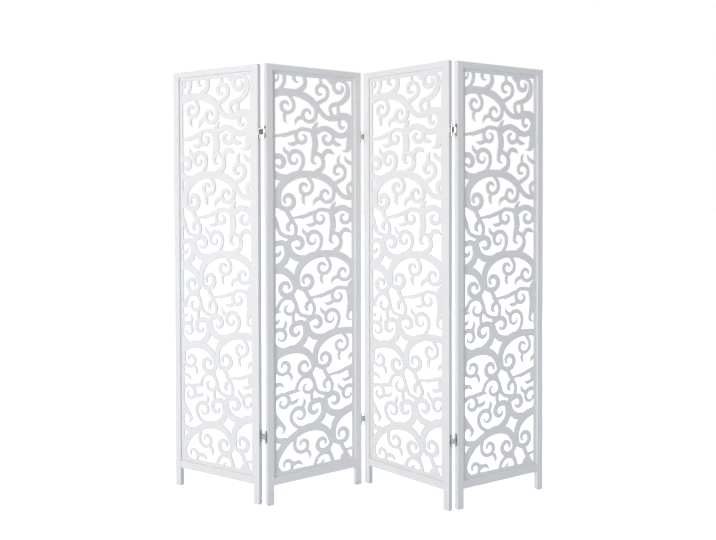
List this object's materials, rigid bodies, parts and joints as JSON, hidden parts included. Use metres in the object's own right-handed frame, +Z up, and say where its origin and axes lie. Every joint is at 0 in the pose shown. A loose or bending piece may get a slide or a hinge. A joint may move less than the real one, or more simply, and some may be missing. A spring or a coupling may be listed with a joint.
{
  "type": "folding screen",
  "caption": "Tall white folding screen: wooden frames hold scroll-cut fretwork sheets and are joined edge to edge by two-way hinges, so it stands in a zigzag and folds flat.",
  "frame": {"origin": "on the floor, in the middle of the zigzag's footprint", "axes": "+X along the zigzag from panel 1 to panel 4, +Y to the back, +Z up; the viewer of the picture is on the -Y side"},
  "size_m": [1.5052, 0.2976, 1.7],
  "materials": {
    "white_wood": "white satin paint on wood",
    "white_sheet": "white satin paint on a cut fibreboard sheet",
    "hinge_metal": "dull nickel plate",
    "hinge_pin": "plain steel"
  },
  "bodies": {
    "panel_1": {"panel_1_left_stile": "white_wood", "panel_1_right_stile": "white_wood", "panel_1_top_rail": "white_wood", "panel_1_bottom_rail": "white_wood", "panel_1_fretwork": "white_sheet", "hinge_12_upper_left_leaf": "hinge_metal", "hinge_12_lower_left_leaf": "hinge_metal"},
    "link_12": {"hinge_12_upper_link": "hinge_metal", "hinge_12_upper_left_pin": "hinge_pin", "hinge_12_upper_right_pin": "hinge_pin", "hinge_12_lower_link": "hinge_metal", "hinge_12_lower_left_pin": "hinge_pin", "hinge_12_lower_right_pin": "hinge_pin"},
    "panel_2": {"panel_2_left_stile": "white_wood", "panel_2_right_stile": "white_wood", "panel_2_top_rail": "white_wood", "panel_2_bottom_rail": "white_wood", "panel_2_fretwork": "white_sheet", "hinge_12_upper_right_leaf": "hinge_metal", "hinge_12_lower_right_leaf": "hinge_metal", "hinge_23_upper_left_leaf": "hinge_metal", "hinge_23_lower_left_leaf": "hinge_metal"},
    "link_23": {"hinge_23_upper_link": "hinge_metal", "hinge_23_upper_left_pin": "hinge_pin", "hinge_23_upper_right_pin": "hinge_pin", "hinge_23_lower_link": "hinge_metal", "hinge_23_lower_left_pin": "hinge_pin", "hinge_23_lower_right_pin": "hinge_pin"},
    "panel_3": {"panel_3_left_stile": "white_wood", "panel_3_right_stile": "white_wood", "panel_3_top_rail": "white_wood", "panel_3_bottom_rail": "white_wood", "panel_3_fretwork": "white_sheet", "hinge_23_upper_right_leaf": "hinge_metal", "hinge_23_lower_right_leaf": "hinge_metal", "hinge_34_upper_left_leaf": "hinge_metal", "hinge_34_lower_left_leaf": "hinge_metal"},
    "link_34": {"hinge_34_upper_link": "hinge_metal", "hinge_34_upper_left_pin": "hinge_pin", "hinge_34_upper_right_pin": "hinge_pin", "hinge_34_lower_link": "hinge_metal", "hinge_34_lower_left_pin": "hinge_pin", "hinge_34_lower_right_pin": "hinge_pin"},
    "panel_4": {"panel_4_left_stile": "white_wood", "panel_4_right_stile": "white_wood", "panel_4_top_rail": "white_wood", "panel_4_bottom_rail": "white_wood", "panel_4_fretwork": "white_sheet", "hinge_34_upper_right_leaf": "hinge_metal", "hinge_34_lower_right_leaf": "hinge_metal"}
  },
  "joints": [
    {"name": "hinge_12_left", "type": "hinge", "parent": "panel_1", "child": "link_12", "pos_m": [-0.37158, -0.07943, 0], "axis": [0, 0, 1], "range_deg": [-76.5, 103.5]},
    {"name": "hinge_12_right", "type": "hinge", "parent": "link_12", "child": "panel_2", "pos_m": [-0.35523, -0.09415, 0], "axis": [0, 0, 1], "range_deg": [-163, 17]},
    {"name": "hinge_23_left", "type": "hinge", "parent": "panel_2", "child": "link_23", "pos_m": [0.01678, 0.12938, 0], "axis": [0, 0, -1], "range_deg": [-75, 105]},
    {"name": "hinge_23_right", "type": "hinge", "parent": "link_23", "child": "panel_3", "pos_m": [0.03207, 0.1452, 0], "axis": [0, 0, -1], "range_deg": [-178, 2]},
    {"name": "hinge_34_left", "type": "hinge", "parent": "panel_3", "child": "link_34", "pos_m": [0.35459, -0.1452, 0], "axis": [0, 0, 1], "range_deg": [-178, 2]},
    {"name": "hinge_34_right", "type": "hinge", "parent": "link_34", "child": "panel_4", "pos_m": [0.36987, -0.12938, 0], "axis": [0, 0, 1], "range_deg": [-72, 108]}
  ]
}
